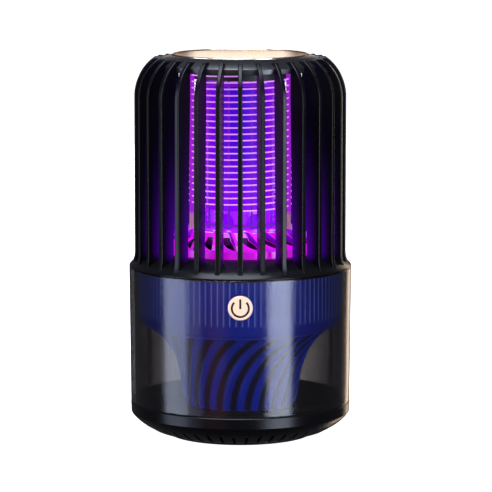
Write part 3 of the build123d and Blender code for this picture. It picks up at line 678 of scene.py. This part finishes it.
def trumpet():
    """Rows of points from the mouth up the lobed outside, over the shoulder and down the bore."""
    around = LOBES * 12
    rows = []
    for k in range(45):
        z = horn_low + (horn_high - horn_low) * k / 44
        t = (z - horn_low) / (horn_high - horn_low)
        rows.append((horn_r(z), z, WAVE, TWIST * t ** 1.8))
    rows += [(r, z, depth, TWIST) for r, z, depth in brim]
    rows += [(r, z, 0.0, TWIST) for r, z in bore]
    points = []
    for r, z, depth, turn in rows:
        for i in range(around):
            phi = 2 * math.pi * i / around
            wave = r - depth * abs(math.sin(LOBES * phi / 2)) ** 1.3
            a = phi + math.radians(turn)
            points.append((wave * math.cos(a), wave * math.sin(a), z))
    n = len(rows)
    faces = [(k * around + i, k * around + (i + 1) % around, (k + 1) % n * around + (i + 1) % around,
              (k + 1) % n * around + i) for k in range(n) for i in range(around)]
    return points, faces


points, faces = trumpet()
horn_piece = build("funnel_trumpet", points, faces, "main_unit", ["funnel", "fluted_skirt"],
                   "blue_abs_painted_light", sharp=50)


def mark_grooves(piece, depth_at):
    """Stores a value per point for the funnel's painted shade and highlight: its share of a groove's depth,
    up to 1, or -1 on a fine rib.
    """
    mark = piece.data.attributes.new("groove", "FLOAT", "POINT")
    for vertex in piece.data.vertices:
        spot = vertex.co / MM
        mark.data[vertex.index].value = depth_at(math.hypot(spot.x, spot.y), spot.z)


def horn_groove(r, z):
    """Share of the wave's depth at a point on the horn's outside, and 0 elsewhere."""
    outside = z < horn_high and r > bore_r(z)
    return min(max((horn_r(z) - r) / WAVE, 0), 1) if outside else 0


mark_grooves(horn_piece, horn_groove)

# %% Fluted skirt
FLUTES = 105
skirt_r = body_r - 5.0
skirt_wall = 1.1
skirt_low, skirt_high = 66.0, levels("fluted_skirt")[1]


def skirt():
    """A tube whose outside carries fine upright ribs; each pitch has eight stations."""
    shape = (0.0, 0.0, 0.3, 0.4, 0.4, 0.4, 0.4, 0.3)
    around = FLUTES * len(shape)
    points = []
    inner_r = skirt_r - skirt_wall
    section = ((skirt_r - 0.25, skirt_low, 0.4), (skirt_r, skirt_low + 0.5, 1.0),
               (skirt_r, skirt_high - 0.3, 1.0), (skirt_r - 0.3, skirt_high, 0.6),
               (inner_r, skirt_high, 0.0), (inner_r, skirt_low, 0.0))
    for r0, z, cut in section:
        for i in range(around):
            a = 2 * math.pi * i / around
            r = r0 - cut * shape[i % len(shape)]
            points.append((r * math.cos(a), r * math.sin(a), z))
    faces = [(k * around + i, k * around + (i + 1) % around, (k + 1) % 6 * around + (i + 1) % around,
              (k + 1) % 6 * around + i) for k in range(6) for i in range(around)]
    return points, faces


points, faces = skirt()
funnel_skirt = build("funnel_skirt", points, faces, "main_unit", ["fluted_skirt"],
                     "blue_abs_painted_light", sharp=60)
# Marks for painted light: the skirt's rib tops get -1 for a painted highlight, and the wall between gets 0.45
# for a little painted shade.
mark_grooves(funnel_skirt, lambda r, z: -1 if r > skirt_r - 0.1 else 0.45)

# %% [markdown]
# ## The tank
# A smoked shell, a little narrower at its foot, with two slim guide ribs inside. The
# button and the charging inlet pass through it, so both holes are drilled with a
# boolean and the result is kept as plain mesh.

# %% Drill helper
def drill(piece, centre, radius, depth, width=0.0):
    """Cuts a round hole, or a slot of that extra width, along Y through the piece."""
    points, faces = [], []
    sides = 64
    for y in (-depth / 2, depth / 2):
        for i in range(sides):
            a = 2 * math.pi * i / sides
            shift = math.copysign(width / 2, math.cos(a)) if width else 0.0
            points.append((centre[0] + radius * math.cos(a) + shift, centre[1] + y,
                           centre[2] + radius * math.sin(a)))
    faces += [(i, (i + 1) % sides, sides + (i + 1) % sides, sides + i) for i in range(sides)]
    faces += [list(reversed(range(sides))), list(range(sides, 2 * sides))]
    mesh = bpy.data.meshes.new("cutter")
    mesh.from_pydata([tuple(c * MM for c in p) for p in points], [], faces)
    work = bmesh.new()
    work.from_mesh(mesh)
    bmesh.ops.recalc_face_normals(work, faces=work.faces)
    work.to_mesh(mesh)
    work.free()
    cutter = bpy.data.objects.new("cutter", mesh)
    bpy.context.scene.collection.objects.link(cutter)
    cut = piece.modifiers.new("hole", "BOOLEAN")
    cut.object = cutter
    cut.operation = "DIFFERENCE"
    cut.solver = "EXACT"
    bpy.context.view_layer.update()
    result = bpy.data.meshes.new_from_object(piece.evaluated_get(bpy.context.evaluated_depsgraph_get()))
    piece.modifiers.clear()
    piece.data = result
    work = bmesh.new()
    work.from_mesh(result)
    for edge in work.edges:
        edge.smooth = len(edge.link_faces) == 2 and edge.calc_face_angle() < math.radians(35)
    for face in work.faces:
        face.smooth = True
    work.to_mesh(result)
    work.free()
    bpy.data.objects.remove(cutter)
    print(piece.name, "drilled,", len(result.polygons), "faces")


button_low, button_high = levels("power_button")
button_z = (button_low + button_high) / 2
button_r, stem_r, gap = 6.5, 2.4, 0.3
port_z = sum(levels("usb_bezel")) / 2
drill(funnel_skirt, (0, -skirt_r, button_z), stem_r + gap, 8)
drill(funnel_skirt, (0, skirt_r, port_z), 1.9, 8, width=5.8)

# %% Tank shell
foot_r = body_r - 0.7
wall = 2.5
flare = body_r - foot_r
tall = tank_high - tank_low
shell = [(foot_r, tank_low)]
shell += [(foot_r + flare * k / 6, tank_low + tall * k / 6) for k in range(1, 7)]
shell += [(body_r - wall - flare * k / 6, tank_high - tall * k / 6) for k in range(7)]
tank = lathe("smoked_tank", shell, "main_unit", ["tank_shell"], "smoked_polycarbonate",
             ease=0.5)
drill(tank, (0, -body_r, button_z), button_r + gap, 9)
drill(tank, (0, body_r, port_z), 4.1, 9, width=6.0)

# %% Guide ribs
def guide_ribs():
    """Two upright ribs just inside the shell, towards the back."""
    points, faces = [], []
    for degrees in (27, 153):
        a = math.radians(degrees)
        c, s = math.cos(a), math.sin(a)
        base = len(points)
        for z, outer in ((tank_low + 3.0, foot_r - wall - 0.05), (tank_high - 1.8, body_r - wall - 0.1)):
            for r, half in ((outer - 1.9, 0.35), (outer, 0.6)):
                for side in (-1, 1):
                    points.append((r * c - side * half * s, r * s + side * half * c, z))
        quads = ((0, 1, 3, 2), (4, 6, 7, 5), (0, 4, 5, 1), (2, 3, 7, 6), (0, 2, 6, 4), (1, 5, 7, 3))
        faces += [tuple(base + i for i in q) for q in quads]
    return points, faces


points, faces = guide_ribs()
build("tank_ribs", points, faces, "main_unit", ["tank_shell"], "smoked_polycarbonate")

# %% [markdown]
# ## Pieces kept from the solid model
# The smaller pieces are right as they are modelled. Each takes the finish of what it
# really is.

# %% Finishes for the kept pieces
kept = {
    "swirl_inlet": "swirl_polycarbonate_painted_light",
    "grid_posts": "lamplit_brass",
    "inner_electrode": "lit_inner_rod",
    "grid_base": "lamplit_socket_plastic",
    "grid_top_cap": "black_abs_matt",
    "lamp_base": "lamplit_socket_plastic",
    "led_board": "white_board_lacquer",
    "uv_leds": "violet_lamp_chip",
    "deck": "black_abs_satin",
    "deck_screws": "zinc_plate",
    "fan_frame": "black_abs_satin",
    "fan_motor": "enamelled_copper",
    "motor_bearings": "plated_brass",
    "fan_shaft": "drawn_steel",
    "rotor_magnet": "black_abs_matt",
    "fan_impeller": "black_abs_satin",
    "battery_cells": "cell_sleeve_film",
    "cell_holder": "black_abs_matt",
    "control_board": "circuit_board_lacquer",
    "board_parts": "chip_epoxy",
    "tact_switch": "chip_epoxy",
    "hv_module": "chip_epoxy",
    "charge_board": "circuit_board_lacquer",
    "usb_inlet": "drawn_steel",
    "usb_bezel": "black_abs_satin",
    "interlock_switch": "chip_epoxy",
    "power_button": "rose_gold_button",
    "power_symbol": "brown_inlay",
    "base_tray": "black_abs_low_gloss",
    "foot_ring": "black_rubber",
    "tray_gasket": "black_rubber",
}
for node, finish in kept.items():
    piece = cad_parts[node]
    piece.data.materials.clear()
    piece.data.materials.append(finishes[finish])
print(len(kept), "kept pieces finished")

# %% [markdown]
# ## Room, light and camera
# A white room: pale floor, pale backdrop, and a tall soft box on each side of the
# camera. A glossy black cylinder shows its lights as upright bands, so each box's
# direction and width are set by where its band falls on the tank. Weaker cards soften
# one band's edge, warm the front, draw the rim and brighten the dish, and a box above
# lights the collar and shoulder.

# %% World and floor
scene = bpy.context.scene
scene.view_settings.view_transform = "Standard"
world = bpy.data.worlds.new("white room")
world.use_nodes = True
scene.world = world
tree = world.node_tree
tree.nodes.clear()
seen = add(tree, "ShaderNodeBackground", {"Color": tint("#FFFFFF"), "Strength": 1.0})
felt = add(tree, "ShaderNodeBackground", {"Color": tint("#E8E6F4"), "Strength": 0.08})
path = add(tree, "ShaderNodeLightPath")
mix = add(tree, "ShaderNodeMixShader", None,
          {0: path.outputs["Is Camera Ray"], 1: felt.outputs[0], 2: seen.outputs[0]})
add(tree, "ShaderNodeOutputWorld", None, {"Surface": mix.outputs[0]})

FLOOR = 4.0
mesh = bpy.data.meshes.new("floor")
corners = [(-FLOOR, -FLOOR, 0), (FLOOR, -FLOOR, 0), (FLOOR, FLOOR, 0), (-FLOOR, FLOOR, 0)]
mesh.from_pydata(corners, [], [(0, 1, 2, 3)])
floor = bpy.data.objects.new("floor", mesh)
scene.collection.objects.link(floor)
material, tree, output, place = new_finish("white_paper")
fibre = add(tree, "ShaderNodeTexNoise", {"Scale": 8.0}, {"Vector": place})
shade = add(tree, "ShaderNodeMix", {"data_type": "RGBA", 6: tint("#F4F4F4"), 7: tint("#FAFAFA")},
            {0: fibre.outputs["Fac"]})
paper = add(tree, "ShaderNodeBsdfPrincipled",
            {"Roughness": 0.9, "Emission Color": tint("#FFFFFF"), "Emission Strength": 1.0},
            {"Base Color": shade.outputs[2]})
tree.links.new(paper.outputs[0], output.inputs["Surface"])
mesh.materials.append(material)
floor.visible_glossy = False
floor.visible_diffuse = False
print("room ready")

# %% Lights
def soft_box(name, azimuth, distance, centre_z, width, height, power, colour="#FFFFFF"):
    """An area light that faces the appliance. Azimuth 0 is the camera's side, positive to the right."""
    lamp = bpy.data.lights.new(name, "AREA")
    lamp.shape = "RECTANGLE"
    lamp.size = width
    lamp.size_y = height
    lamp.energy = power
    lamp.color = tint(colour)[:3]
    box = bpy.data.objects.new(name, lamp)
    a = math.radians(azimuth)
    spot = Vector((distance * math.sin(a), -distance * math.cos(a), centre_z))
    box.location = spot
    box.rotation_euler = (Vector((0, 0, 0.1)) - spot).to_track_quat("-Z", "Y").to_euler()
    box.visible_camera = False
    scene.collection.objects.link(box)
    print(name, "at", round(azimuth), "degrees")
    return box


soft_box("left_box", -70, 1.5, -0.1, 0.74, 1.6, 25, "#D0DCF8")
soft_box("left_fade", -47, 1.5, -0.1, 0.34, 1.6, 2.8, "#D0C8F4")
soft_box("warm_card", -25, 1.5, -0.1, 0.55, 1.6, 1.3, "#FFAC9C")
soft_box("right_box", 41, 1.5, -0.1, 0.66, 1.6, 48, "#D8E2F8")
soft_box("right_rim", 152, 1.5, -0.1, 0.3, 1.6, 5, "#FFE2C4")
soft_box("back_card", 180, 1.5, 0.25, 0.45, 0.8, 1.45, "#FFF6EC")
soft_box("front_card", 0, 2.3, 0.5, 2.4, 1.6, 5, "#F0F2FF")
soft_box("top_box", -25, 0.5, 1.6, 1.2, 1.2, 62, "#E4ECFF")

# %% Camera
eye = bpy.data.cameras.new("camera")
eye.lens = 233.0
eye.sensor_width = 36.0
eye.shift_x = 0.0116
camera = bpy.data.objects.new("camera", eye)
aim = Vector((0, 0, 0.1018))
pitch_angle = math.radians(7.7)
reach = 1.72
camera.location = aim + Vector((0, -reach * math.cos(pitch_angle), reach * math.sin(pitch_angle)))
camera.rotation_euler = (aim - camera.location).to_track_quat("-Z", "Y").to_euler()
scene.collection.objects.link(camera)
scene.camera = camera
print("camera at", [round(c, 3) for c in camera.location])
